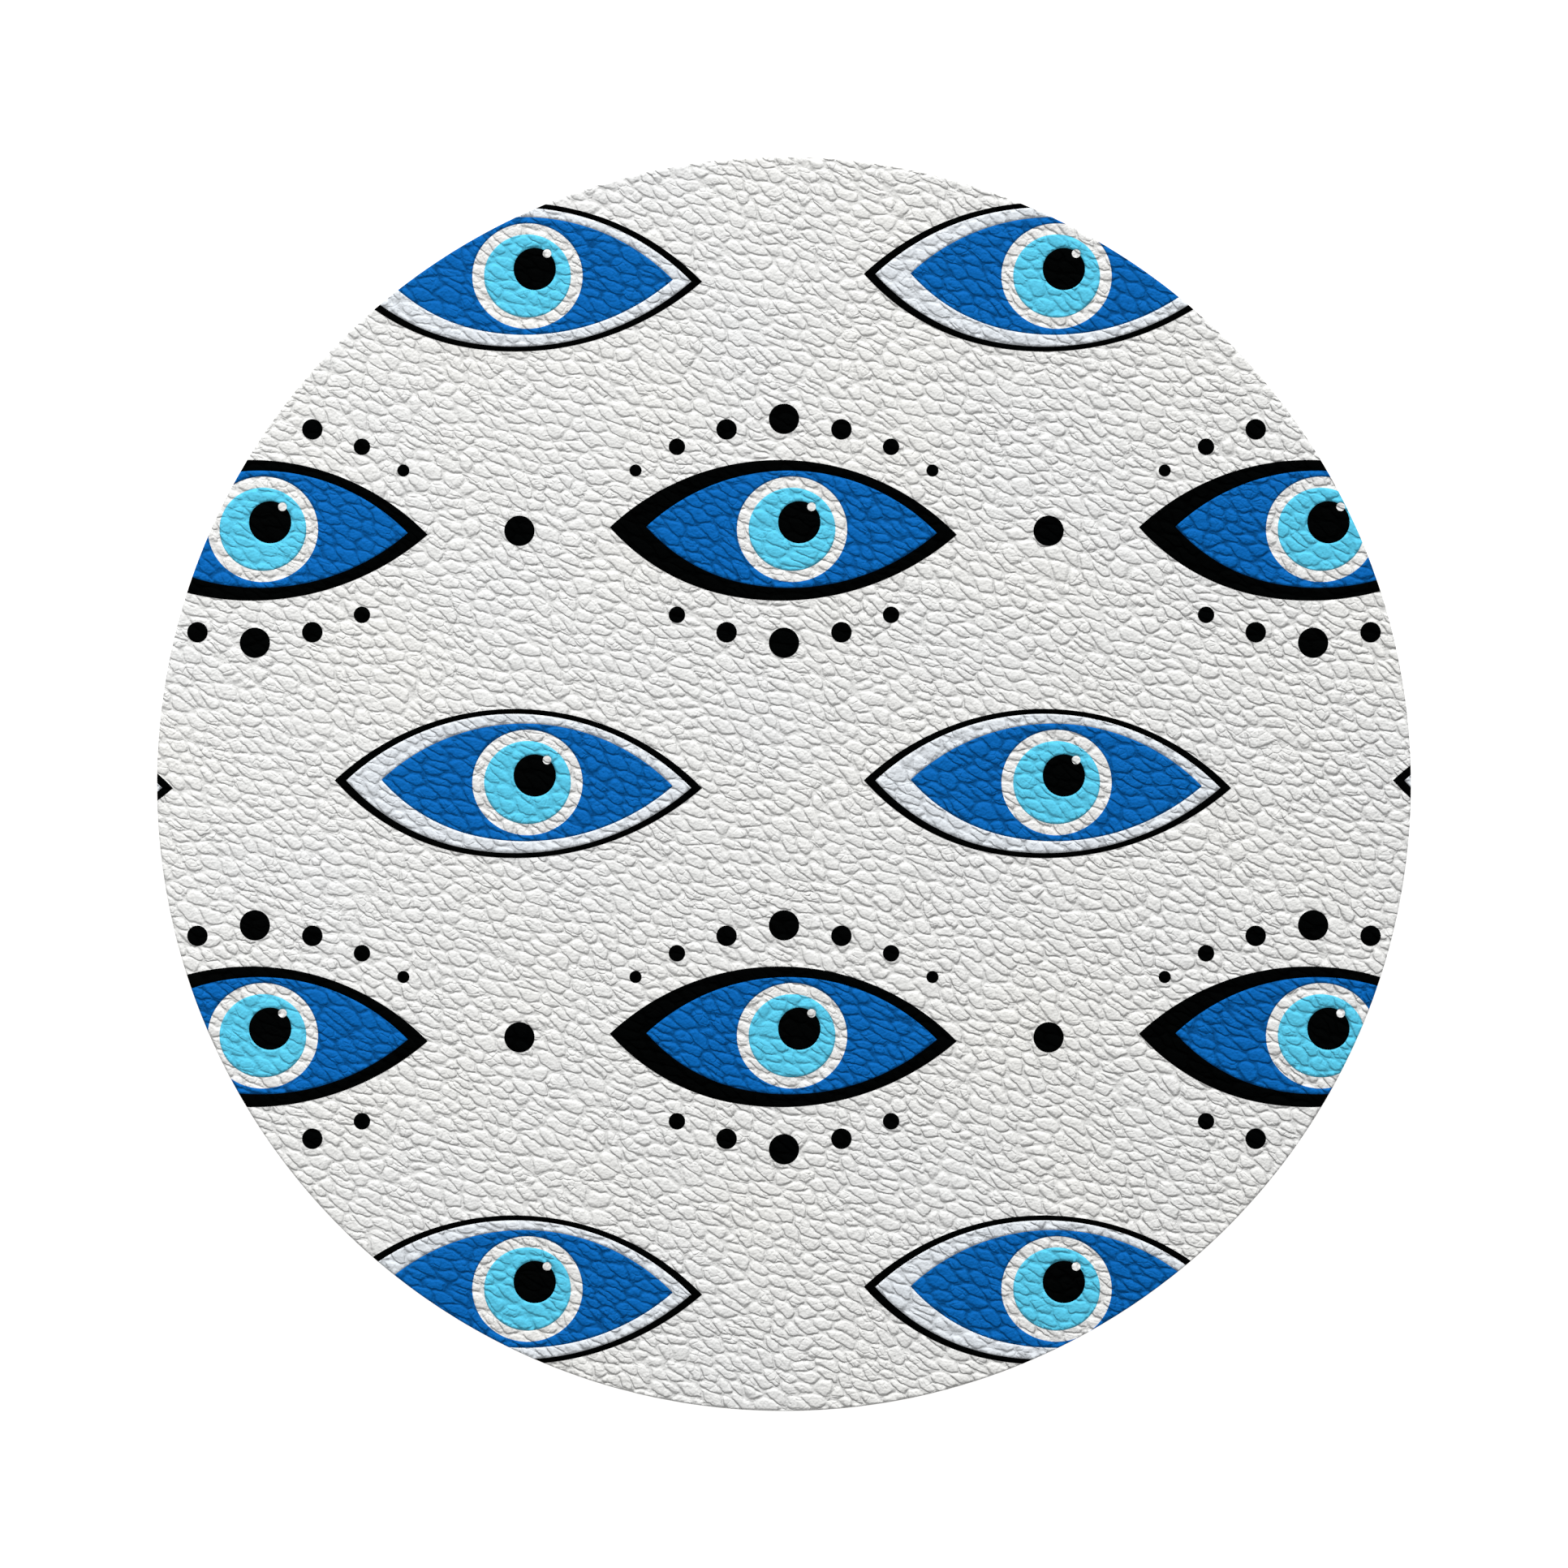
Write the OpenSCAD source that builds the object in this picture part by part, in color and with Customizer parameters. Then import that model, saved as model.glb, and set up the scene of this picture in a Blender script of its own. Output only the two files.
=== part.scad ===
// Evil eye ornament: a flat round disc of printed, pebble-grained leatherette
// bonded to a rigid board, with a cork sheet underneath.
// Millimetres. The origin is the centre of the underside, +Z is up through the printed face,
// and +Y is the top of the print.

/* [Disc] */
// Diameter that every layer is die-cut to
disc_d = 100; // [70:1:150]
// Thickness of the cork sheet the disc rests on
cork_t = 1; // [0.5:0.1:3]
// Thickness of each double-sided adhesive film
film_t = 0.1; // [0.05:0.05:0.3]
// Thickness of the fibreboard core
board_t = 2.4; // [1:0.1:6]
// Thickness of the knitted cloth that carries the leatherette
cloth_t = 0.4; // [0.2:0.05:1]
// Thickness of the foamed layer under the skin
foam_t = 0.35; // [0.2:0.05:1]
// Thickness of the embossed skin
skin_t = 0.25; // [0.15:0.05:0.6]

/* [Print] */
// Thickness of the dried ink
ink_t = 0.05; // [0.03:0.01:0.1]
// Distance between neighbouring eyes in a row
pitch_x = 42.2; // [38:0.1:60]
// Distance between rows of the same kind of eye
pitch_y = 40.4; // [34:0.1:60]

/* [Iris] */
// Half width of the bare ring round the iris
ring_rx = 4.4; // [3.6:0.05:4.6]
// Half height of the bare ring round the iris
ring_ry = 4.21; // [3.5:0.05:4.4]
// Half width of the light blue iris
iris_rx = 3.46; // [3.1:0.02:3.5]
// Half height of the light blue iris
iris_ry = 3.31; // [3.1:0.02:3.4]
// Radius of the pupil
pupil_r = 1.66; // [1.6:0.02:1.9]
// Radius of the bare spot that is the pupil's glint
glint_r = 0.38; // [0.2:0.02:0.5]

/* [Dots] */
// Radius of the dots above, below and between the eyes
big_dot_r = 1.18; // [0.6:0.02:1.6]
// Radius of the dots next to the middle one
second_dot_r = 0.79; // [0.4:0.01:1.2]
// Radius of the third dots
third_dot_r = 0.63; // [0.3:0.01:1]
// Radius of the dots at the ends of the upper row
end_dot_r = 0.455; // [0.2:0.005:0.8]

/* [Hidden] */
$fn = 96;

// Heights of the joins between the layers, from the underside up.
base_film_z = cork_t;
board_z = base_film_z + film_t;
face_film_z = board_z + board_t;
cloth_z = face_film_z + film_t;
foam_z = cloth_z + cloth_t;
skin_z = foam_z + foam_t;
ink_z = skin_z + skin_t;

// Places inside one eye, from the middle of the eye.
ring_at = [0.64, 0.12];
pupil_at = [1.22, 0.68];
glint_at = [2.2, 1.92];

// A lid outline is one upper arc over two lower arcs that run smoothly into each other.
// [upper centre, upper radius, lowest point, its lean in degrees, lower left radius, lower right radius]
outer_lid = [[-0.4, -14.9], 20.86, [-4.52, -5.49], -10.56, 17.9, 22.72];
middle_lid = [[-0.36, -14.1], 19.72, [-4.1, -5.2], -10.2, 17.06, 21.46];
inner_lid = [[0.35, -11.8], 16.62, [-3.25, -4.2], -11.7, 14.1, 18.07];

// Dots over and under a bold eye: [distance sideways, distance up or down, radius].
lash_dots = [
    [4.58, 8.09, second_dot_r],
    [8.54, 6.7, third_dot_r]
];
middle_dot_y = 8.93;
end_dot = [11.84, 4.81];

// Half width and half height of an eye, with the dots round it where it has them.
bold_half = [13.9, middle_dot_y + big_dot_r];
fine_half = [14.8, 6];

// The eyes lie on a lattice that is centred on the disc: bold eyes on the half rows,
// fine eyes on the half columns, and a single dot in the middle of each gap.
steps = ceil(disc_d / (2 * min(pitch_x, pitch_y)));

// Whether any of what lies round p, out to half a width and half a height, can reach onto the disc.
function on_disc(p, half) =
    norm([max(abs(p[0]) - half[0], 0), max(abs(p[1]) - half[1], 0)]) < disc_d / 2;

function places(x_list, y_list, half) =
    [for (x = x_list, y = y_list) let (p = [x * pitch_x, y * pitch_y]) if (on_disc(p, half)) p];

whole_steps = [-steps:steps];
half_steps = [-steps - 0.5:steps + 0.5];
bold_eyes = places(whole_steps, half_steps, bold_half);
fine_eyes = places(half_steps, whole_steps, fine_half);
spacers = places(half_steps, half_steps, [big_dot_r, big_dot_r]);

module layer(z, t) {
    translate([0, 0, z]) cylinder(d = disc_d, h = t);
}

// Ink lies on the skin, and what runs over the edge is cut away with the disc.
module ink(spots) {
    intersection() {
        translate([0, 0, ink_z]) linear_extrude(ink_t)
            for (p = spots) translate(p) children();
        layer(ink_z, ink_t);
    }
}

// The half of a circle on one side of its lowest point: side is -1 for left and 1 for right.
module half_round(r, side) {
    intersection() {
        translate([0, r]) circle(r);
        translate([side * r, r]) square(2 * r, center = true);
    }
}

module lid(shape) {
    intersection() {
        translate(shape[0]) circle(shape[1]);
        translate(shape[2]) rotate(shape[3]) union() {
            half_round(shape[4], -1);
            half_round(shape[5], 1);
        }
    }
}

module oval(at, rx, ry) {
    translate(at) scale([rx / ry, 1]) circle(ry);
}

module dot(at, r) {
    translate(at) circle(r);
}

module cork_base() {
    color([0.72, 0.55, 0.36]) layer(0, cork_t);
}

module base_adhesive() {
    color([0.9, 0.88, 0.8]) layer(base_film_z, film_t);
}

module core_board() {
    color([0.62, 0.5, 0.37]) layer(board_z, board_t);
}

module face_adhesive() {
    color([0.9, 0.88, 0.8]) layer(face_film_z, film_t);
}

module backing_cloth() {
    color([0.86, 0.86, 0.84]) layer(cloth_z, cloth_t);
}

module foam_layer() {
    color([0.94, 0.94, 0.92]) layer(foam_z, foam_t);
}

module face_skin() {
    color([0.87, 0.87, 0.86]) layer(skin_z, skin_t);
}

// Heavy outline of the eyes that have dots round them.
module ink_bold_lids() {
    color([0.02, 0.02, 0.02]) ink(bold_eyes) difference() {
        lid(middle_lid);
        lid(inner_lid);
    }
}

// Thin outline of the plain eyes.
module ink_fine_lids() {
    color([0.02, 0.02, 0.02]) ink(fine_eyes) difference() {
        lid(outer_lid);
        lid(middle_lid);
    }
}

// Pale margin between the thin outline and the blue.
module ink_pale_sclera() {
    color([0.82, 0.84, 0.86]) ink(fine_eyes) difference() {
        lid(middle_lid);
        lid(inner_lid);
    }
}

module ink_eye_blue() {
    color([0.05, 0.36, 0.65]) ink(concat(bold_eyes, fine_eyes)) difference() {
        lid(inner_lid);
        oval(ring_at, ring_rx, ring_ry);
    }
}

module ink_iris_blue() {
    color([0.34, 0.71, 0.82]) ink(concat(bold_eyes, fine_eyes)) difference() {
        oval(ring_at, iris_rx, iris_ry);
        dot(pupil_at, pupil_r);
        dot(glint_at, glint_r);
    }
}

module ink_pupils() {
    color([0.02, 0.02, 0.02]) ink(concat(bold_eyes, fine_eyes)) difference() {
        dot(pupil_at, pupil_r);
        dot(glint_at, glint_r);
    }
}

module ink_lash_dots() {
    color([0.02, 0.02, 0.02]) ink(bold_eyes) {
        for (up = [-1, 1]) dot([0, up * middle_dot_y], big_dot_r);
        for (side = [-1, 1], up = [-1, 1], d = lash_dots) dot([side * d[0], up * d[1]], d[2]);
        for (side = [-1, 1]) dot([side * end_dot[0], end_dot[1]], end_dot_r);
    }
}

module ink_spacer_dots() {
    color([0.02, 0.02, 0.02]) ink(spacers) dot([0, 0], big_dot_r);
}

cork_base();
base_adhesive();
core_board();
face_adhesive();
backing_cloth();
foam_layer();
face_skin();
ink_bold_lids();
ink_fine_lids();
ink_pale_sclera();
ink_eye_blue();
ink_iris_blue();
ink_pupils();
ink_lash_dots();
ink_spacer_dots();
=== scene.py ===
"""Looks for the evil eye ornament: a printed, pebble-grained leatherette disc on a cork-backed board.

Every CAD node is replaced by a detailed mesh of the same size. One fine mesh of the face carries the
pressed grain and the outlines of the print, and each ink is the patch of it that the ink covers.
"""

import math

import bmesh
import bpy
import numpy as np
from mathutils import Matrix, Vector, geometry


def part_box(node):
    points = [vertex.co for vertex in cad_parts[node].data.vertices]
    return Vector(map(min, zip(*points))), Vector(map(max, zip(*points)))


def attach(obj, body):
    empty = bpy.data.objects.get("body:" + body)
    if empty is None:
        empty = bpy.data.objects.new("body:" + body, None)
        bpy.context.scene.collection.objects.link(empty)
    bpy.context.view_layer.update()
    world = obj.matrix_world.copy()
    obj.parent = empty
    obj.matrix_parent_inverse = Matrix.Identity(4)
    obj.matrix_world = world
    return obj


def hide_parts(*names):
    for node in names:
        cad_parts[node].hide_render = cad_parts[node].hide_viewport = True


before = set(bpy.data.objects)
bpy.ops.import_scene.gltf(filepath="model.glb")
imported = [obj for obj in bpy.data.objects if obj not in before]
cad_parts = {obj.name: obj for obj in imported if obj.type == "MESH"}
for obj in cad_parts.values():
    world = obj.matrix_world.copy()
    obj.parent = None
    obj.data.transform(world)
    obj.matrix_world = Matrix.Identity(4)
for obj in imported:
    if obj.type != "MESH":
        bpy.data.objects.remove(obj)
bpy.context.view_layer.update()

MM = 0.001

# ---------------------------------------------------------------- sizes, in millimetres


def heights(node):
    """Underside and top of a layer."""
    low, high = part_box(node)
    return low.z / MM, high.z / MM


SKIN_LOW, SKIN_TOP = heights("face_skin")
DISC_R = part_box("face_skin")[1].x / MM

# The print repeats on a lattice, whose steps show in the box round the four spacer dots.
BIG_DOT_R = 1.18
SPACER_LOW, SPACER_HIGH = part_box("ink_spacer_dots")
PITCH_X = (SPACER_HIGH.x - SPACER_LOW.x) / MM - 2 * BIG_DOT_R
PITCH_Y = (SPACER_HIGH.y - SPACER_LOW.y) / MM - 2 * BIG_DOT_R

# One eye, from its middle, as in the CAD model. A lid is an upper arc over two lower arcs that run smoothly
# into each other:
# (upper centre, upper radius, lowest point, lean in degrees, lower left radius, lower right radius).
OUTER_LID = ((-0.4, -14.9), 20.86, (-4.52, -5.49), -10.56, 17.9, 22.72)
MIDDLE_LID = ((-0.36, -14.1), 19.72, (-4.1, -5.2), -10.2, 17.06, 21.46)
INNER_LID = ((0.35, -11.8), 16.62, (-3.25, -4.2), -11.7, 14.1, 18.07)
# An oval or a dot is (middle, half width, half height).
RING = ((0.64, 0.12), 4.4, 4.21)
IRIS = ((0.64, 0.12), 3.46, 3.31)
PUPIL = ((1.22, 0.68), 1.66, 1.66)
GLINT = ((2.2, 1.92), 0.38, 0.38)
# The dots round an eye: (distance sideways, distance up, radius).
LASH_DOTS = ((0, 8.93, BIG_DOT_R), (4.58, 8.09, 0.79), (8.54, 6.7, 0.63))
END_DOT = (11.84, 4.81, 0.455)

FACE_STEP = 0.24        # spacing of the face's mesh
ROUND_COUNT = 28        # fewest points in an oval's outline
INK_SPREAD = 0.03       # how far the black ink ran out past the CAD outline when it was printed
FILM_PROUD = 0.015      # how far the ink stands above the skin
FILM_SOAK = 0.2         # how far it reaches into the skin, below its pebbles' tops
FILM_INSET = 0.005      # how far it stops short of the cut edge

# ---------------------------------------------------------------- node trees


class Maker:
    """Adds nodes to a shader tree or a geometry tree. The texture nodes give the same values in both."""

    def __init__(self, tree):
        self.tree = tree

    def put(self, socket, value):
        """Gives a socket a number or colour, or links another node's output to it."""
        if isinstance(value, bpy.types.NodeSocket):
            self.tree.links.new(value, socket)
        else:
            socket.default_value = value

    def math(self, operation, *values):
        """One step of arithmetic on numbers."""
        node = self.tree.nodes.new("ShaderNodeMath")
        node.operation = operation
        for socket, value in zip(node.inputs, values):
            self.put(socket, value)
        return node.outputs[0]

    def total(self, *values):
        """The sum of any count of numbers."""
        out = values[0]
        for value in values[1:]:
            out = self.math("ADD", out, value)
        return out

    def vector(self, operation, a, b=None, scale=None):
        """A sum on vectors, which gives a number where the operation does."""
        node = self.tree.nodes.new("ShaderNodeVectorMath")
        node.operation = operation
        self.put(node.inputs[0], a)
        if b is not None:
            self.put(node.inputs[1], b)
        if scale is not None:
            self.put(node.inputs["Scale"], scale)
        return node.outputs["Value" if operation == "DOT_PRODUCT" else "Vector"]

    def join(self, x, y, z=0.0):
        """A vector from its parts."""
        node = self.tree.nodes.new("ShaderNodeCombineXYZ")
        for socket, value in zip(node.inputs, (x, y, z)):
            self.put(socket, value)
        return node.outputs[0]

    def parts(self, vector):
        """The three parts of a vector, or of a colour."""
        node = self.tree.nodes.new("ShaderNodeSeparateXYZ")
        self.put(node.inputs[0], vector)
        return node.outputs

    def ramp(self, value, low, high, to_low=0.0, to_high=1.0):
        """A smooth step from to_low, where value is low or less, to to_high, where it is high or more."""
        node = self.tree.nodes.new("ShaderNodeMapRange")
        node.interpolation_type = "SMOOTHSTEP"
        for name, number in (
            ("Value", value),
            ("From Min", low),
            ("From Max", high),
            ("To Min", to_low),
            ("To Max", to_high),
        ):
            self.put(node.inputs[name], number)
        return node.outputs[0]

    def noise(self, place, size, detail=0.0, shift=(0, 0, 0), flat=True, output=0):
        """Noise with lumps of that size. It lies between about 0.2 and 0.8."""
        node = self.tree.nodes.new("ShaderNodeTexNoise")
        node.noise_dimensions = "2D" if flat else "3D"
        self.put(node.inputs["Vector"], self.vector("ADD", place, shift))
        node.inputs["Scale"].default_value = 1.0 / size
        node.inputs["Detail"].default_value = detail
        node.inputs["Roughness"].default_value = 0.55
        return node.outputs[output]

    def swing(self, place, size, amount, detail=0.0, shift=(0, 0, 0), flat=True):
        """Noise round zero, of about that amount from low to high."""
        value = self.noise(place, size, detail, shift, flat)
        return self.math("MULTIPLY", self.math("SUBTRACT", value, 0.5), amount)

    def stir(self, place, size, amount, shift=(0, 0, 0), flat=True):
        """place, moved about by smooth noise."""
        color = self.noise(place, size, 1.0, shift, flat, output="Color")
        move = self.vector("SUBTRACT", color, (0.5, 0.5, 0.5))
        return self.vector("ADD", place, self.vector("SCALE", move, scale=amount))

    def cells(self, place, feature, randomness=1.0, flat=True):
        """A node of cells that are about 1 across."""
        node = self.tree.nodes.new("ShaderNodeTexVoronoi")
        node.voronoi_dimensions = "2D" if flat else "3D"
        node.feature = feature
        self.put(node.inputs["Vector"], place)
        node.inputs["Scale"].default_value = 1.0
        node.inputs["Randomness"].default_value = randomness
        return node

    def blend(self, share, low, high):
        """A colour between two, by share."""
        node = self.tree.nodes.new("ShaderNodeMix")
        node.data_type = "RGBA"
        self.put(node.inputs["Factor"], share)
        for name, color in (("A", low), ("B", high)):
            socket = [s for s in node.inputs if s.name == name and s.type == "RGBA"][0]
            self.put(socket, color if isinstance(color, bpy.types.NodeSocket) else (*color, 1))
        return [s for s in node.outputs if s.type == "RGBA"][0]


# ---------------------------------------------------------------- the pressed grain, in millimetres

# Pebbles lie in rows, and the creases between them run in two directions.
ROW_LEAN = -10          # direction of the rows, in degrees
SIDE_LEAN = -60         # direction of the creases that part the pebbles of a row
PEBBLE_LONG = 1.45      # spacing along a row
PEBBLE_SIDE = 1.3       # spacing between rows, along the side creases
PEBBLE_RANDOM = 0.85    # 0 sets the pebbles out evenly, 1 wholly at random

# How the grain is moved about: (size of the eddies, how far they move it).
WANDER = (7.0, 1.4)     # of the rows
WAVER = (1.2, 0.35)     # of the creases
FRAY = (0.5, 0.15)      # of the creases' edges

DISH_DEPTH = 0.06       # depth of the broad hollow between pebbles
TILT = 0.04             # how steeply a pebble's top may lean
STEP = 0.03             # how far apart the pebbles' tops may lie in height
CROWN = 0.02            # how far a pebble drops from its middle, per square of the distance in cells
SWELL = (0.6, 0.035)    # size and height of the soft lumps on the pebbles
SINK = 0.02             # how far the whole grain lies under the CAD level, so that no lump stands over it

CREASE_DEPTH = 0.12     # depth of the narrow crease at the bottom of the hollow
PRESS = 1.1             # how many times that depth a crease in the middle of the disc has
PRESS_SLOPE = (0.0036, -0.0014, 0)   # how that number grows per millimetre to the right and up
PRESS_PATCH = 3.0       # size of the patches in which creases are deeper or shallower

SMALL_LEAN = (-20, 70)  # the two directions of the small creases across the pebbles, in degrees
SMALL_STEP = (0.75, 0.6)    # their spacing in each direction
SMALL_WANDER = (6.0, 1.5)   # how they wander, as the rows do
SMALL_DEPTH = 0.06      # their depth
SMALL_PATCH = 1.6       # size of the patches in which they are deeper or shallower

PIT_STEP = 0.7          # spacing of the pits
PIT_DEPTH = 0.02        # depth of the pits
MOTTLE = (0.35, 0.08)   # size and height of the fine mottling

# How softly creases meet, in the broad hollows, the narrow creases and the small ones.
DISH_SOFT, CREASE_SOFT, SMALL_SOFT = 1.0, 1.2, 1.6


def slanted(maker, place, row, side, along, beside):
    """place in units of slanted cells: `along` long in direction row, and `beside` in direction side."""
    a, b = math.radians(row), math.radians(side)
    ax, ay, bx, by = along * math.cos(a), along * math.sin(a), beside * math.cos(b), beside * math.sin(b)
    area = ax * by - ay * bx
    u = maker.vector("DOT_PRODUCT", place, (by / area, -bx / area, 0))
    v = maker.vector("DOT_PRODUCT", place, (-ay / area, ax / area, 0))
    return maker.join(u, v)


def creases(maker, place, softness, randomness=1.0):
    """1 along the middle of a crease, more where creases meet and 0 on the tops, with the cell's node.
    It is the nearest cell's distance less a blend of the near cells' distances, so corners come out round."""
    nearest = maker.cells(place, "F1", randomness)
    blended = maker.cells(place, "SMOOTH_F1", randomness)
    blended.inputs["Smoothness"].default_value = softness
    gap = maker.math("SUBTRACT", nearest.outputs["Distance"], blended.outputs["Distance"])
    return maker.math("DIVIDE", gap, softness / 8), nearest


def pebble_place(maker, place):
    """place moved about, so that rows wander and creases waver, and then in units of pebbles."""
    p = maker.stir(place, *WANDER)
    p = maker.stir(p, *WAVER, (31, 7, 0))
    p = maker.stir(p, *FRAY, (3, 57, 0))
    return p, slanted(maker, p, ROW_LEAN, SIDE_LEAN, PEBBLE_LONG, PEBBLE_SIDE)


def coarse_grain(maker, place):
    """Height of the pebbles, which the mesh carries. 0 is the level of their tops."""
    _, q = pebble_place(maker, place)
    crease, nearest = creases(maker, q, DISH_SOFT, PEBBLE_RANDOM)
    random = maker.parts(nearest.outputs["Color"])
    dish = maker.ramp(crease, 0.0, 1.2)
    top = maker.math("SUBTRACT", 1.0, dish)
    lean = maker.vector("SUBTRACT", nearest.outputs["Color"], (0.5, 0.5, 0.5))
    lean = maker.vector("MULTIPLY", lean, (TILT, TILT, 0))
    tilt = maker.vector("DOT_PRODUCT", maker.vector("SUBTRACT", q, nearest.outputs["Position"]), lean)
    step = maker.math("MULTIPLY", maker.math("SUBTRACT", random[2], 0.5), STEP)
    crown = maker.math("MULTIPLY", maker.math("POWER", nearest.outputs["Distance"], 2.0), -CROWN)
    return maker.total(
        maker.math("MULTIPLY", top, maker.math("ADD", tilt, step)),
        maker.math("MULTIPLY", dish, -DISH_DEPTH),
        crown,
        maker.swing(place, *SWELL, 0.0, (11, 3, 0)),
        -SINK,
    )


def small_creases(maker, place, random):
    """Height of the small creases that cross some pebbles. random is the pebble's own number."""
    p = maker.stir(place, *SMALL_WANDER)
    small, _ = creases(maker, slanted(maker, p, *SMALL_LEAN, *SMALL_STEP), SMALL_SOFT)
    patchy = maker.ramp(maker.noise(place, SMALL_PATCH, 1.0), 0.4, 0.6, 0.3, 1.0)
    some = maker.math("MULTIPLY", maker.ramp(random, 0.3, 0.6), patchy)
    return maker.math("MULTIPLY", maker.math("MULTIPLY", maker.ramp(small, 0.0, 1.0), some), -SMALL_DEPTH)


def pits(maker, place):
    """Height of the round pits, which lie in about half of their cells."""
    cell = maker.cells(maker.vector("SCALE", place, scale=1 / PIT_STEP), "F1")
    pit = maker.ramp(cell.outputs["Distance"], 0.0, 0.2, 1.0, 0.0)
    chosen = maker.ramp(maker.parts(cell.outputs["Color"])[0], 0.5, 0.6)
    return maker.math("MULTIPLY", maker.math("MULTIPLY", pit, chosen), -PIT_DEPTH)


def fine_grain(maker, place):
    """What is finer than the mesh, for the bump: the narrow creases between pebbles, smaller ones across
    some of them, pits and mottling. Also gives the creases."""
    p, q = pebble_place(maker, place)
    crease, nearest = creases(maker, q, CREASE_SOFT, PEBBLE_RANDOM)
    random = maker.parts(nearest.outputs["Color"])
    deep = maker.ramp(maker.noise(place, PRESS_PATCH, 1.0), 0.3, 0.7, 0.7 * CREASE_DEPTH, CREASE_DEPTH)
    press = maker.math("ADD", maker.vector("DOT_PRODUCT", place, PRESS_SLOPE), PRESS)
    narrow = maker.math("MULTIPLY", maker.ramp(crease, 0.0, 0.8), maker.math("MULTIPLY", deep, press))
    height = maker.total(
        maker.math("MULTIPLY", narrow, -1.0),
        small_creases(maker, place, random[1]),
        pits(maker, p),
        maker.swing(place, *MOTTLE, 1.0),
    )
    return height, crease


# ---------------------------------------------------------------- the other layers' relief, in millimetres

GRANULE = 1.2           # size of a cork granule
GRANULE_BENDS = (1.1, 0.7)  # how granules are bent: size of the eddies, how far they move them
GRANULE_CHIPS = (0.35, 0.2)     # how their edges are chipped, in the same way
GRANULE_JOINT = 0.07    # depth of the joints between them
GRANULE_STEP = 0.03     # how far one may lie below another
GRANULE_ROUGH = (0.25, 0.04)    # size and height of the roughness on them

FIBRE_WIDTH = 4         # how many times wider than high a lump of fibres in the board is
FLECK_SIZE = 0.7        # size of the board's flecks, where fibres were torn out
FLECK_DEPTH = 0.05      # depth of the flecks
SAWN_ROUGH = (0.22, 0.03)   # size and height of the board's roughness

KNIT_LOOPS = 620        # loops of the knitted cloth round the edge
KNIT_WAVER = (0.5, 0.08)    # how the rows of loops waver
LOOP_HEIGHT = 0.1       # height of a loop
LOOP_SINK = 0.13        # how far the cloth between loops lies inside the cut
YARN_ROUGH = (0.12, 0.03)   # size and height of the yarn's roughness

FOAM_CELL = 0.13        # size of a bubble
FOAM_WAVER = (0.3, 0.05)    # how the bubbles are squeezed about
FOAM_DEPTH = 0.03       # depth of a bubble
FOAM_SINK = 0.03        # how far the foam lies inside the cut
FOAM_WAVES = (1.5, 0.03)    # size and height of the waves that the knife left

FILM_SINK = 0.09        # how far an adhesive film stops short of the cut
FILM_WAVES = (1.8, 0.12)    # length and depth of the waves in its edge
STREAK_SIZE = 0.8       # length of its streaks
STREAK_WIDTH = 6        # how many times longer than high they are

# Each recipe gives its relief first, and then what its material needs.


def cork_grains(maker, place):
    """Relief of pressed cork granules, how close a joint between them is, and each one's random numbers."""
    p = maker.stir(place, *GRANULE_BENDS, flat=False)
    p = maker.stir(p, *GRANULE_CHIPS, (9, 5, 2), flat=False)
    p = maker.vector("SCALE", p, scale=1 / GRANULE)
    edge = maker.cells(p, "DISTANCE_TO_EDGE", flat=False).outputs["Distance"]
    cell = maker.cells(p, "F1", flat=False)
    joint = maker.ramp(edge, 0.0, 0.1, 1.0, 0.0)
    random = maker.parts(cell.outputs["Color"])
    relief = maker.total(
        maker.math("MULTIPLY", joint, -GRANULE_JOINT),
        maker.math("MULTIPLY", random[1], -GRANULE_STEP),
        maker.swing(place, *GRANULE_ROUGH, 2.0, flat=False),
    )
    return relief, joint, random


def board_fibres(maker, place):
    """Relief of a sawn fibreboard edge, and its flecks. Fibres lie flat, so lumps are wider than high."""
    flat = maker.vector("MULTIPLY", place, (1, 1, FIBRE_WIDTH))
    fleck = maker.noise(flat, FLECK_SIZE, 3.0, flat=False)
    torn = maker.math("MULTIPLY", maker.ramp(fleck, 0.55, 0.75), -FLECK_DEPTH)
    return maker.math("ADD", torn, maker.swing(place, *SAWN_ROUGH, 1.0, flat=False)), fleck


def round_the_edge(maker, place):
    """Distance round the disc's edge and height above the base, for what runs round the cut."""
    x, y, z = maker.parts(place)
    angle = maker.math("ARCTAN2", y, x)
    return maker.math("MULTIPLY", angle, DISC_R), z


def knit_loops(maker, place):
    """Relief of the cloth's cut loops, in two staggered rows, and where the loops lie, which the material
    uses for painted shade in the gaps between them.
    """
    along, z = round_the_edge(maker, maker.stir(place, *KNIT_WAVER, flat=False))
    low, high = heights("backing_cloth")
    row = maker.math("DIVIDE", maker.math("SUBTRACT", z, low), high - low)
    turns = KNIT_LOOPS / DISC_R
    upper = maker.math("SINE", maker.math("MULTIPLY", along, turns))
    lower = maker.math("SINE", maker.math("ADD", maker.math("MULTIPLY", along, turns), math.pi))
    in_upper = maker.ramp(row, 0.35, 0.65)
    wave = maker.math(
        "ADD",
        maker.math("MULTIPLY", upper, in_upper),
        maker.math("MULTIPLY", lower, maker.math("SUBTRACT", 1.0, in_upper)),
    )
    belt = maker.math("ABSOLUTE", maker.math("SINE", maker.math("MULTIPLY", row, 2 * math.pi)))
    loop = maker.math("MULTIPLY", maker.ramp(wave, -0.9, 0.6), belt)
    raised = maker.math("MULTIPLY", loop, LOOP_HEIGHT)
    return maker.total(raised, -LOOP_SINK, maker.swing(place, *YARN_ROUGH, 1.0, flat=False)), loop


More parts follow.
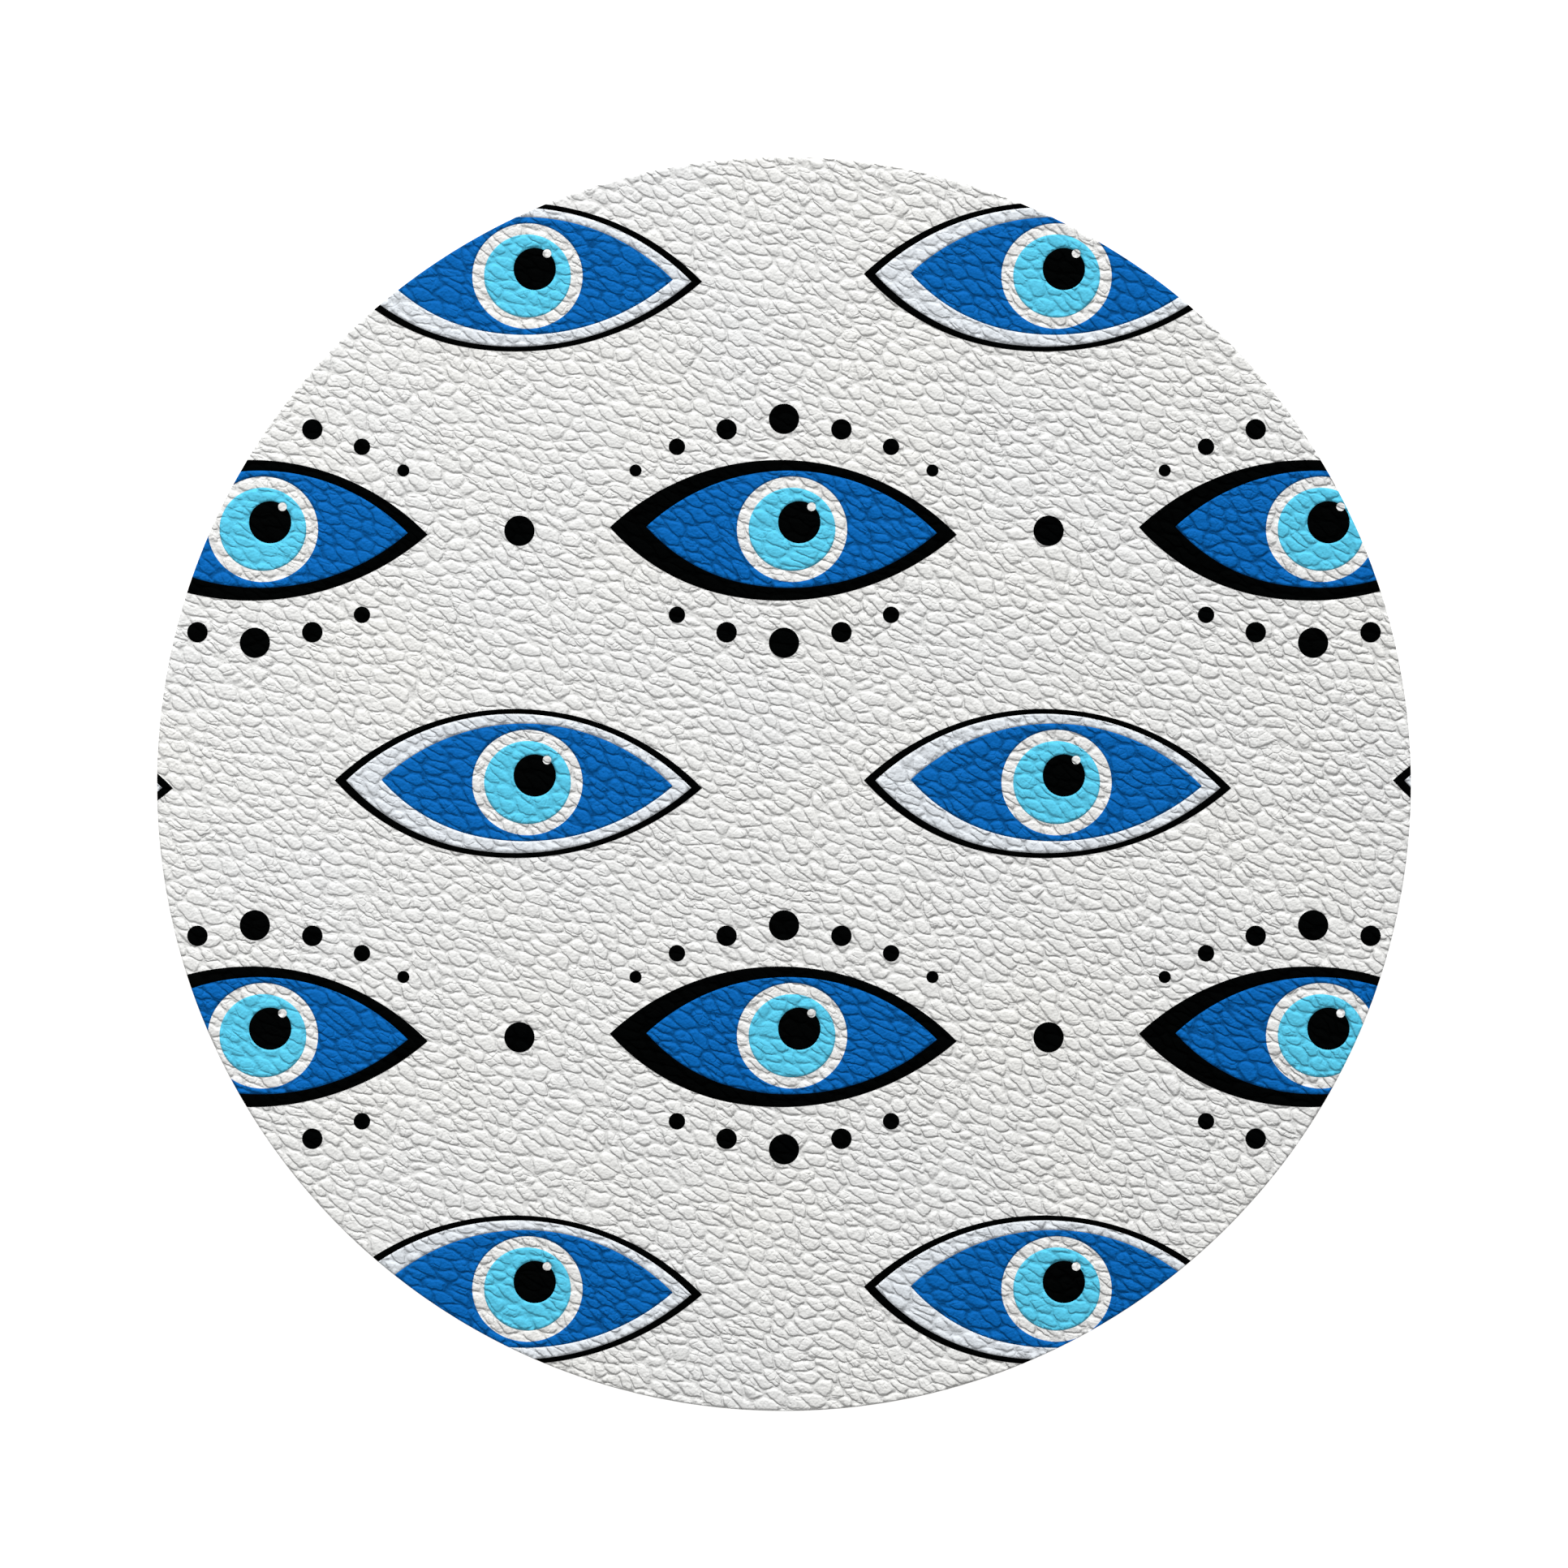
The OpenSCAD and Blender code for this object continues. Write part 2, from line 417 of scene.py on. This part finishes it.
def foam_cells(maker, place):
    """Relief of finely foamed plastic, cut through."""
    p = maker.vector("SCALE", maker.stir(place, *FOAM_WAVER, flat=False), scale=1 / FOAM_CELL)
    cell = maker.cells(p, "F1", flat=False)
    hole = maker.ramp(cell.outputs["Distance"], 0.15, 0.5, 1.0, 0.0)
    sunk = maker.math("MULTIPLY", hole, -FOAM_DEPTH)
    return maker.total(sunk, -FOAM_SINK, maker.swing(place, *FOAM_WAVES, flat=False)), hole


def film_edge(maker, place):
    """Relief of a film of adhesive, which stops more or less short of the cut, and its streaks."""
    relief = maker.math("ADD", maker.swing(place, *FILM_WAVES, 1.0, flat=False), -FILM_SINK)
    flat = maker.vector("MULTIPLY", place, (1, 1, STREAK_WIDTH))
    return relief, maker.noise(flat, STREAK_SIZE, 2.0, flat=False)


# ---------------------------------------------------------------- meshes


def sampled(places, recipe):
    """The number that a recipe gives at each place (in millimetres), worked out by geometry nodes."""
    mesh = bpy.data.meshes.new("sampled")
    mesh.vertices.add(len(places))
    mesh.vertices.foreach_set("co", np.asarray(places, np.float32).ravel() * MM)
    thing = bpy.data.objects.new("sampled", mesh)
    bpy.context.scene.collection.objects.link(thing)
    tree = bpy.data.node_groups.new("sampled", "GeometryNodeTree")
    tree.interface.new_socket("Geometry", in_out="INPUT", socket_type="NodeSocketGeometry")
    tree.interface.new_socket("Geometry", in_out="OUTPUT", socket_type="NodeSocketGeometry")
    maker = Maker(tree)
    start, end = tree.nodes.new("NodeGroupInput"), tree.nodes.new("NodeGroupOutput")
    store = tree.nodes.new("GeometryNodeStoreNamedAttribute")
    store.inputs["Name"].default_value = "height"
    position = tree.nodes.new("GeometryNodeInputPosition").outputs[0]
    value = recipe(maker, maker.vector("SCALE", position, scale=1 / MM))
    tree.links.new(start.outputs[0], store.inputs[0])
    tree.links.new(value, [s for s in store.inputs if s.name == "Value" and s.enabled][0])
    tree.links.new(store.outputs[0], end.inputs[0])
    thing.modifiers.new("sampled", "NODES").node_group = tree
    done = thing.evaluated_get(bpy.context.evaluated_depsgraph_get()).data
    out = np.empty(len(places), np.float32)
    done.attributes["height"].data.foreach_get("value", out)
    bpy.data.objects.remove(thing)
    bpy.data.meshes.remove(mesh)
    bpy.data.node_groups.remove(tree)
    return out.astype(float)


def solid(node, points, faces, smooth_count, material):
    """The mesh that replaces a CAD node, from points in mm. Its first smooth_count faces are smooth."""
    mesh = bpy.data.meshes.new(node + "_detail")
    mesh.from_pydata((np.asarray(points) * MM).tolist(), [], faces)
    mesh.polygons.foreach_set("use_smooth", np.arange(len(faces)) < smooth_count)
    mesh.materials.append(material)
    mesh.validate()
    mesh.update()
    piece = bpy.data.objects.new(node + "_detail", mesh)
    bpy.context.scene.collection.objects.link(piece)
    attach(piece, "root")
    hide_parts(node)
    return piece


# ---------------------------------------------------------------- the print's outlines


def turned(x, y, degrees):
    """A point turned round the origin."""
    c, s = math.cos(math.radians(degrees)), math.sin(math.radians(degrees))
    return c * x - s * y, s * x + c * y


def around(radius, count):
    """Points spaced evenly round a circle."""
    t = np.arange(count) * 2 * math.pi / count
    return np.column_stack([radius * np.cos(t), radius * np.sin(t)])


# A mark's gap function gives about how far a point lies outside the outline: it is below 0 inside.


def oval_gap(oval):
    """The gap function of an oval."""
    (cx, cy), rx, ry = oval

    def gap(x, y):
        return (np.hypot((x - cx) / rx, (y - cy) / ry) - 1) * min(rx, ry)

    return gap


def lid_gap(lid):
    """The gap function of a lid."""
    (cx, cy), top_r, (lx, ly), lean, left_r, right_r = lid

    def gap(x, y):
        u, v = turned(x - lx, y - ly, -lean)
        r = np.where(u < 0, left_r, right_r)
        return np.maximum(np.hypot(x - cx, y - cy) - top_r, np.hypot(u, v - r) - r)

    return gap


def oval_outline(oval):
    """Points round an oval."""
    (cx, cy), rx, ry = oval
    count = max(ROUND_COUNT, round(2 * math.pi * rx / FACE_STEP))
    return around(1, count) * (rx, ry) + (cx, cy)


def tip(lid, low_middle, low_r, side):
    """Where the upper arc meets a lower arc: side is -1 for the left tip and 1 for the right."""
    (cx, cy), top_r = lid[:2]
    dx, dy = low_middle[0] - cx, low_middle[1] - cy
    apart = math.hypot(dx, dy)
    along = (apart**2 + top_r**2 - low_r**2) / (2 * apart)
    across = side * math.sqrt(top_r**2 - along**2)
    return cx + (along * dx + across * dy) / apart, cy + (along * dy - across * dx) / apart


def arc(middle, radius, start, end):
    """Points from start to end, without the last, round a middle."""
    a = math.atan2(start[1] - middle[1], start[0] - middle[0])
    b = math.atan2(end[1] - middle[1], end[0] - middle[0])
    count = max(2, round(abs(b - a) * radius / FACE_STEP))
    t = a + (b - a) * np.arange(count) / count
    return np.column_stack([middle[0] + radius * np.cos(t), middle[1] + radius * np.sin(t)])


def lid_outline(lid):
    """The lid's curve, with a point at each tip and at its lowest place."""
    top, top_r, (lx, ly), lean, left_r, right_r = lid
    left_x, left_y = turned(0, left_r, lean)
    right_x, right_y = turned(0, right_r, lean)
    low_left, low_right = (left_x + lx, left_y + ly), (right_x + lx, right_y + ly)
    left, right = tip(lid, low_left, left_r, -1), tip(lid, low_right, right_r, 1)
    return np.concatenate(
        [
            arc(top, top_r, left, right),
            arc(low_right, right_r, right, (lx, ly)),
            arc(low_left, left_r, (lx, ly), left),
        ]
    )


def grown(shape, by):
    """An oval or a lid whose outline lies that much further out."""
    if len(shape) == 3:
        middle, rx, ry = shape
        return middle, rx + by, ry + by
    middle, top_r, (lx, ly), lean, left_r, right_r = shape
    dx, dy = turned(0, -by, lean)
    return middle, top_r + by, (lx + dx, ly + dy), lean, left_r + by, right_r + by


def mark(shape, region, spread=0.0):
    """(outline, gap function, what its inside is) of an oval or a lid whose ink has spread that far."""
    shape = grown(shape, spread)
    if len(shape) == 3:
        return oval_outline(shape), oval_gap(shape), region
    return lid_outline(shape), lid_gap(shape), region


def eye_marks(bold):
    """The marks of one eye, each over the one before."""
    bold_lids = [
        mark(MIDDLE_LID, "ink_bold_lids", INK_SPREAD),
        mark(INNER_LID, "ink_eye_blue", -INK_SPREAD),
    ]
    fine_lids = [
        mark(OUTER_LID, "ink_fine_lids", INK_SPREAD),
        mark(MIDDLE_LID, "ink_pale_sclera", -INK_SPREAD),
        mark(INNER_LID, "ink_eye_blue"),
    ]
    return (bold_lids if bold else fine_lids) + [
        mark(RING, "face_skin"),
        mark(IRIS, "ink_iris_blue"),
        mark(PUPIL, "ink_pupils", INK_SPREAD),
        mark(GLINT, "face_skin", -INK_SPREAD),
    ]


def dot_marks(dots, region):
    """The marks of black dots."""
    return [mark(((x, y), r, r), region, INK_SPREAD) for x, y, r in dots]


def lash_dots():
    """Every dot round a bold eye: LASH_DOTS are mirrored both ways, and END_DOT only sideways."""
    mirrored = {(side * x, up * y, r) for x, y, r in LASH_DOTS for side in (-1, 1) for up in (-1, 1)}
    return sorted(mirrored) + [(side * END_DOT[0], *END_DOT[1:]) for side in (-1, 1)]


def placed(marks, x_steps, y_steps):
    """(place, marks, reach) for the lattice places from which the marks can reach onto the disc."""
    reach = np.max([abs(outline).max(0) for outline, _, _ in marks], 0)
    places = [np.array((i * PITCH_X, j * PITCH_Y)) for i in x_steps for j in y_steps]
    return [(p, marks, reach) for p in places if np.hypot(*np.maximum(abs(p) - reach, 0)) < DISC_R]


WHOLE, HALF = (-1, 0, 1), (-1.5, -0.5, 0.5, 1.5)
PLACED = (
    placed(eye_marks(True) + dot_marks(lash_dots(), "ink_lash_dots"), WHOLE, HALF)
    + placed(eye_marks(False), HALF, WHOLE)
    + placed(dot_marks([(0, 0, BIG_DOT_R)], "ink_spacer_dots"), HALF, HALF)
)


WHOLE_HULL, WITHIN_EDGES = 0, 1     # what delaunay_2d_cdt fills with triangles


def near(points, place, reach):
    """Which points lie in the box round a mark, and where they are from its middle."""
    offset = points - place
    which = np.flatnonzero((abs(offset) < reach + FACE_STEP).all(1))
    return which, *offset[which].T


def face_grid():
    """Points of even triangles that cover the disc."""
    row_step = FACE_STEP * math.sqrt(3) / 2
    rows = round(DISC_R / row_step)
    across = np.arange(-round(DISC_R / FACE_STEP), round(DISC_R / FACE_STEP) + 1) * FACE_STEP
    return np.concatenate(
        [
            np.column_stack([across + (j % 2) * FACE_STEP / 2, np.full(len(across), j * row_step)])
            for j in range(-rows, rows + 1)
        ]
    )


def face_triangles():
    """Points and triangles of the whole face, with the print's outlines among their edges."""
    grid = face_grid()
    clear = FACE_STEP * 0.45        # no other point lies this near an outline
    keep = np.hypot(grid[:, 0], grid[:, 1]) < DISC_R - clear
    rim_count = round(2 * math.pi * DISC_R / FACE_STEP)
    loops = [around(DISC_R, rim_count)]
    for place, marks, reach in PLACED:
        which, x, y = near(grid, place, reach)
        for outline, gap, _ in marks:
            keep[which] &= abs(gap(x, y)) > clear
            loops.append(outline + place)
    points, edges = [grid[keep]], []
    start = int(keep.sum())
    for loop in loops:
        count = len(loop)
        edges += [(start + i, start + (i + 1) % count) for i in range(count)]
        points.append(loop)
        start += count
    points = [Vector(p) for p in np.concatenate(points).tolist()]
    points, _, triangles, *_ = geometry.delaunay_2d_cdt(points, edges, [], WHOLE_HULL, 1e-5, False)
    points, triangles = np.array([tuple(p) for p in points]), np.array(triangles)
    middle = points[triangles].mean(1)
    on_disc = np.hypot(middle[:, 0], middle[:, 1]) < DISC_R * math.cos(math.pi / rim_count)
    return points, triangles[on_disc]


def regions(middles):
    """What each triangle of the face is: the bare skin or an ink."""
    out = np.full(len(middles), "face_skin", dtype="U20")
    for place, marks, reach in PLACED:
        which, x, y = near(middles, place, reach)
        for _, gap, region in marks:
            out[which[gap(x, y) < 0]] = region
    return out


def rim_of(triangles):
    """The directed edges round a patch of triangles."""
    sides = np.concatenate([triangles[:, [0, 1]], triangles[:, [1, 2]], triangles[:, [2, 0]]])
    big = int(triangles.max()) + 1
    forward, back = sides @ (big, 1), sides @ (1, big)
    return sides[~np.isin(forward, back)]


def slab(node, points, triangles, top_z, under_z, material):
    """A closed sheet over a patch of the face's triangles, with a flat underside."""
    used, triangles = np.unique(triangles, return_inverse=True)
    triangles = triangles.reshape(-1, 3)
    rim = rim_of(triangles)
    edge, turn = np.unique(rim, return_inverse=True)
    turn = turn.reshape(-1, 2) + len(used)
    points = points[used]
    top = np.column_stack([points, top_z[used]])
    under = np.column_stack([points[edge], np.full(len(edge), under_z)])
    faces = triangles.tolist() + [(a, c, d, b) for (a, b), (c, d) in zip(rim.tolist(), turn.tolist())]
    piece = solid(node, np.concatenate([top, under]), faces, len(triangles), material)
    mesh = bmesh.new()
    mesh.from_mesh(piece.data)
    hole = [e for e in mesh.edges if e.is_boundary]
    bmesh.ops.triangle_fill(mesh, edges=hole, normal=(0, 0, -1))
    mesh.to_mesh(piece.data)
    mesh.free()


def upward(points, triangles):
    """The triangles, each turned anticlockwise."""
    corners = points[triangles]
    first, second = corners[:, 1] - corners[:, 0], corners[:, 2] - corners[:, 0]
    clockwise = first[:, 0] * second[:, 1] - first[:, 1] * second[:, 0] < 0
    return np.where(clockwise[:, None], triangles[:, ::-1], triangles)


def make_face():
    """The skin, with its pressed grain, and the ink on it."""
    points, triangles = face_triangles()
    triangles = upward(points, triangles)
    region = regions(points[triangles].mean(1))
    flat = np.column_stack([points, np.zeros(len(points))])
    relief = SKIN_TOP + sampled(flat, coarse_grain)
    slab("face_skin", points, triangles, relief, SKIN_LOW, leather_material())
    at_rim = np.hypot(points[:, 0], points[:, 1]) > DISC_R - 1e-3
    points[at_rim] *= 1 - FILM_INSET / DISC_R
    for node, *looks in INKS:
        patch = triangles[region == node]
        slab(node, points, patch, relief + FILM_PROUD, SKIN_TOP - FILM_SOAK, ink_material(node, *looks))


def cut_relief(recipe, points):
    """How far a layer's surface lies inside its CAD shape at each point, as a number from 0 down."""
    return np.minimum(sampled(points, lambda maker, place: recipe(maker, place)[0]), 0.0)


def rough_base(recipe, low, rim, step, first):
    """Points and faces of an underside with relief, inside a rim. Its points have numbers from `first`, and
    the rim's have numbers from 0."""
    rings = round(DISC_R / step)
    inner = np.concatenate([around(k * DISC_R / rings, max(1, 6 * k)) for k in range(rings)])
    plan = [Vector(p) for p in np.concatenate([inner, rim]).tolist()]
    edges = [(len(inner) + i, len(inner) + (i + 1) % len(rim)) for i in range(len(rim))]
    _, _, triangles, origins, *_ = geometry.delaunay_2d_cdt(plan, edges, [], WITHIN_EDGES, 1e-6, True)
    numbers = np.concatenate([first + np.arange(len(inner)), np.arange(len(rim))])
    corners = np.array([origin[0] for origin in origins])[np.array(triangles)]
    relief = cut_relief(recipe, np.column_stack([inner, np.full(len(inner), low)]))
    # The highest granules reach the floor, so the base still rests flat.
    points = np.column_stack([inner, low + relief.max() - relief])
    return points, numbers[corners][:, ::-1].tolist()


def make_layer(node, recipe, material, row_step, round_step, base_step=None):
    """A disc whose cut edge has the relief of its material. base_step gives its underside relief too."""
    low, high = heights(node)
    z = np.linspace(low, high, max(2, round((high - low) / row_step)) + 1)
    count = round(2 * math.pi * DISC_R / round_step)
    wall = np.column_stack([np.tile(around(DISC_R, count), (len(z), 1)), np.repeat(z, count)])
    wall[:, :2] *= 1 + cut_relief(recipe, wall)[:, None] / DISC_R
    top = len(wall) - count
    ahead = [(i, (i + 1) % count) for i in range(count)]
    faces = [(k + i, k + j, k + count + j, k + count + i) for k in range(0, top, count) for i, j in ahead]
    smooth = len(faces)
    if base_step:
        base, base_faces = rough_base(recipe, low, wall[:count, :2], base_step, len(wall))
        smooth += len(base_faces)
    else:
        base, base_faces = [(0, 0, low)], [(len(wall), j, i) for i, j in ahead]
    middle = len(wall) + len(base)
    faces += base_faces + [(middle, top + i, top + j) for i, j in ahead]
    solid(node, np.concatenate([wall, base, [(0, 0, high)]]), faces, smooth, material)


# ---------------------------------------------------------------- materials

LEATHER_WARM, LEATHER_COOL = (0.665, 0.66, 0.636), (0.645, 0.65, 0.652)
# The crease colour below is painted shade for the bottoms of the leatherette's creases.
LEATHER_SPECK, LEATHER_CREASE_SHADE = (0.6, 0.6, 0.595), (0.56, 0.56, 0.55)
CORK_DARK, CORK_LIGHT = (0.25, 0.14, 0.065), (0.43, 0.28, 0.145)
CORK_PORE, CORK_JOINT = (0.17, 0.085, 0.035), (0.08, 0.035, 0.015)
BOARD_LIGHT, BOARD_DARK, BOARD_SPECK = (0.34, 0.225, 0.125), (0.24, 0.15, 0.075), (0.1, 0.05, 0.025)
CLOTH_GAP_SHADE, CLOTH_LOOP = (0.22, 0.215, 0.2), (0.5, 0.49, 0.46)
FOAM_WALL, FOAM_HOLE_SHADE = (0.55, 0.545, 0.52), (0.36, 0.355, 0.33)
GLUE_DARK, GLUE_LIGHT = (0.26, 0.2, 0.1), (0.4, 0.34, 0.2)


def new_material(name):
    """A material with its node maker, its shader, and the place on the object in millimetres."""
    material = bpy.data.materials.new(name)
    material.use_nodes = True
    tree = material.node_tree
    shader = tree.nodes["Principled BSDF"]
    maker = Maker(tree)
    place = tree.nodes.new("ShaderNodeTexCoord").outputs["Object"]
    return material, maker, shader, maker.vector("SCALE", place, scale=1 / MM)


def bump(maker, shader, height):
    """Bump from a height in millimetres."""
    node = maker.tree.nodes.new("ShaderNodeBump")
    node.inputs["Strength"].default_value = 1.0
    node.inputs["Distance"].default_value = MM
    maker.put(node.inputs["Height"], height)
    maker.put(shader.inputs["Normal"], node.outputs[0])


def leather_material():
    material, maker, shader, place = new_material("leatherette")
    height, crease = fine_grain(maker, place)
    bump(maker, shader, height)
    tone = maker.noise(place, 14.0, 1.0)
    color = maker.blend(tone, LEATHER_WARM, LEATHER_COOL)
    speck = maker.ramp(maker.noise(place, 0.3, 1.0, (5, 5, 0)), 0.6, 0.8, 0.0, 0.35)
    color = maker.blend(speck, color, LEATHER_SPECK)
    # Painted shade: the skin's colour darkens towards the bottom of each crease.
    color = maker.blend(maker.ramp(crease, 0.4, 1.3, 0.0, 0.5), color, LEATHER_CREASE_SHADE)
    maker.put(shader.inputs["Base Color"], color)
    rough = maker.math("ADD", maker.ramp(crease, 0.0, 1.0, 0.66, 0.8), maker.swing(place, 0.4, 0.1, 1.0))
    maker.put(shader.inputs["Roughness"], rough)
    shader.inputs["Specular IOR Level"].default_value = 0.12
    return material


def ink_material(name, color, specular, crease_shade, relief):
    material, maker, shader, place = new_material(name)
    height, crease = fine_grain(maker, place)
    bump(maker, shader, maker.math("MULTIPLY", height, relief))
    thin, thick, crease_shaded = (tuple(share * c for c in color) for share in (1.06, 0.93, 0.35))
    shade = maker.blend(maker.noise(place, 0.5, 2.0), thick, thin)
    # Painted shade: the ink's colour darkens towards the bottom of each crease.
    shade = maker.blend(maker.ramp(crease, 0.3, 1.3, 0.0, crease_shade), shade, crease_shaded)
    maker.put(shader.inputs["Base Color"], shade)
    maker.put(shader.inputs["Roughness"], maker.ramp(crease, 0.0, 1.0, 0.62, 0.75))
    shader.inputs["Specular IOR Level"].default_value = specular
    return material


BLACK = (0.0009, 0.0011, 0.0011)

# Each ink's node, colour, specular level, how much painted shade darkens its colour at the bottom of a
# crease, and how much of the fine grain shows through it.
INKS = (
    ("ink_bold_lids", BLACK, 0.0, 0.6, 1.0),
    ("ink_fine_lids", BLACK, 0.0, 0.6, 1.0),
    ("ink_pale_sclera", (0.583, 0.614, 0.647), 0.12, 0.2, 0.85),
    ("ink_eye_blue", (0.002, 0.105, 0.37), 0.03, 0.7, 1.0),
    ("ink_iris_blue", (0.082, 0.475, 0.665), 0.1, 0.1, 0.7),
    ("ink_pupils", BLACK, 0.0, 0.6, 1.0),
    ("ink_lash_dots", BLACK, 0.0, 0.6, 1.0),
    ("ink_spacer_dots", BLACK, 0.0, 0.6, 1.0),
)


def cork_material():
    material, maker, shader, place = new_material("cork")
    _, joint, random = cork_grains(maker, place)
    bump(maker, shader, maker.swing(place, 0.12, 0.03, 3.0, flat=False))
    color = maker.blend(random[0], CORK_DARK, CORK_LIGHT)
    grain = maker.ramp(maker.noise(place, 0.2, 2.0, flat=False), 0.5, 0.75, 0.0, 0.5)
    color = maker.blend(grain, color, CORK_PORE)
    color = maker.blend(maker.math("MULTIPLY", joint, 0.45), color, CORK_JOINT)
    maker.put(shader.inputs["Base Color"], color)
    shader.inputs["Roughness"].default_value = 0.85
    shader.inputs["Specular IOR Level"].default_value = 0.25
    return material


def board_material():
    material, maker, shader, place = new_material("fibreboard")
    _, fleck = board_fibres(maker, place)
    flat = maker.vector("MULTIPLY", place, (1, 1, 3))
    bump(maker, shader, maker.swing(flat, 0.15, 0.04, 2.0, flat=False))
    color = maker.blend(fleck, BOARD_LIGHT, BOARD_DARK)
    speck = maker.ramp(maker.noise(place, 0.3, 1.0, flat=False), 0.66, 0.74, 0.0, 0.6)
    color = maker.blend(speck, color, BOARD_SPECK)
    maker.put(shader.inputs["Base Color"], color)
    shader.inputs["Roughness"].default_value = 0.8
    shader.inputs["Specular IOR Level"].default_value = 0.25
    return material


def cloth_material():
    material, maker, shader, place = new_material("knitted_cloth")
    _, loop = knit_loops(maker, place)
    bump(maker, shader, maker.swing(place, 0.05, 0.02, 2.0, flat=False))
    # Painted shade: the cloth is darker in the sunken gaps between its loops.
    color = maker.blend(loop, CLOTH_GAP_SHADE, CLOTH_LOOP)
    maker.put(shader.inputs["Base Color"], color)
    shader.inputs["Roughness"].default_value = 0.95
    shader.inputs["Sheen Weight"].default_value = 0.3
    shader.inputs["Specular IOR Level"].default_value = 0.1
    return material


def foam_material():
    material, maker, shader, place = new_material("foam")
    _, hole = foam_cells(maker, place)
    bump(maker, shader, maker.math("MULTIPLY", hole, -0.02))
    # Painted shade: the foam's colour darkens inside each bubble's hollow.
    color = maker.blend(hole, FOAM_WALL, FOAM_HOLE_SHADE)
    maker.put(shader.inputs["Base Color"], color)
    shader.inputs["Roughness"].default_value = 0.7
    return material


def adhesive_material():
    material, maker, shader, place = new_material("adhesive")
    _, streak = film_edge(maker, place)
    bump(maker, shader, maker.math("MULTIPLY", streak, 0.03))
    color = maker.blend(streak, GLUE_DARK, GLUE_LIGHT)
    maker.put(shader.inputs["Base Color"], color)
    maker.put(shader.inputs["Roughness"], maker.ramp(streak, 0.3, 0.7, 0.2, 0.4))
    return material


# ---------------------------------------------------------------- the object

make_face()
make_layer("foam_layer", foam_cells, foam_material(), row_step=0.07, round_step=0.16)
make_layer("backing_cloth", knit_loops, cloth_material(), row_step=0.04, round_step=0.1)
glue = adhesive_material()
make_layer("face_adhesive", film_edge, glue, row_step=0.05, round_step=0.3)
make_layer("core_board", board_fibres, board_material(), row_step=0.12, round_step=0.2)
make_layer("base_adhesive", film_edge, glue, row_step=0.05, round_step=0.3)
make_layer("cork_base", cork_grains, cork_material(), row_step=0.1, round_step=0.2, base_step=0.35)

# ---------------------------------------------------------------- floor, light and camera


def make_floor():
    """A plain white floor that glows a little, so that it shows no shadow."""
    mesh = bpy.data.meshes.new("floor")
    half = 20.0
    corners = [(-half, -half, 0), (half, -half, 0), (half, half, 0), (-half, half, 0)]
    mesh.from_pydata(corners, [], [(0, 1, 2, 3)])
    floor = bpy.data.objects.new("floor", mesh)
    bpy.context.scene.collection.objects.link(floor)
    material = bpy.data.materials.new("floor")
    material.use_nodes = True
    shader = material.node_tree.nodes["Principled BSDF"]
    shader.inputs["Base Color"].default_value = (0.25, 0.25, 0.25, 1)
    shader.inputs["Roughness"].default_value = 0.9
    shader.inputs["Specular IOR Level"].default_value = 0.0
    shader.inputs["Emission Color"].default_value = (1, 1, 1, 1)
    shader.inputs["Emission Strength"].default_value = 0.95
    material.cycles.emission_sampling = "NONE"
    mesh.materials.append(material)


def make_world():
    """A pale studio: white near the horizon, where the view's background is, and dimmer overhead."""
    world = bpy.data.worlds.new("studio")
    bpy.context.scene.world = world
    world.use_nodes = True
    maker = Maker(world.node_tree)
    ray = world.node_tree.nodes.new("ShaderNodeTexCoord").outputs["Generated"]
    up = maker.parts(ray)[2]
    level = maker.ramp(up, low=0.06, high=0.25, to_low=1.02, to_high=0.41)
    background = world.node_tree.nodes["Background"]
    background.inputs["Color"].default_value = (1, 1, 1, 1)
    maker.put(background.inputs["Strength"], level)


def make_lamp(name, azimuth, elevation, distance, size, power):
    """A square lamp that shines on the middle of the disc, with angles in degrees from +X and the floor."""
    light = bpy.data.lights.new(name, "AREA")
    light.size = size
    light.energy = power
    lamp = bpy.data.objects.new(name, light)
    bpy.context.scene.collection.objects.link(lamp)
    a, e = math.radians(azimuth), math.radians(elevation)
    way = Vector((math.cos(a) * math.cos(e), math.sin(a) * math.cos(e), math.sin(e)))
    lamp.location = way * distance
    lamp.rotation_mode = "QUATERNION"
    lamp.rotation_quaternion = way.to_track_quat("Z", "Y")


def make_camera():
    """A camera straight over the disc, far off and with a long lens."""
    camera = bpy.data.cameras.new("camera")
    camera.lens = 200
    camera.sensor_width = 36
    camera.clip_start, camera.clip_end = 0.01, 50
    holder = bpy.data.objects.new("camera", camera)
    bpy.context.scene.collection.objects.link(holder)
    share = 0.7997          # of the picture's width that the disc takes
    width = 2 * DISC_R * MM / share
    holder.location = (0, 0, SKIN_TOP * MM + width * camera.lens / camera.sensor_width)
    bpy.context.scene.camera = holder


make_floor()
make_world()
make_lamp("key", azimuth=84, elevation=30, distance=1.6, size=0.54, power=34.0)
make_lamp("fill", azimuth=165, elevation=40, distance=0.25, size=0.1, power=0.12)
make_camera()
bpy.context.scene.view_settings.view_transform = "Standard"
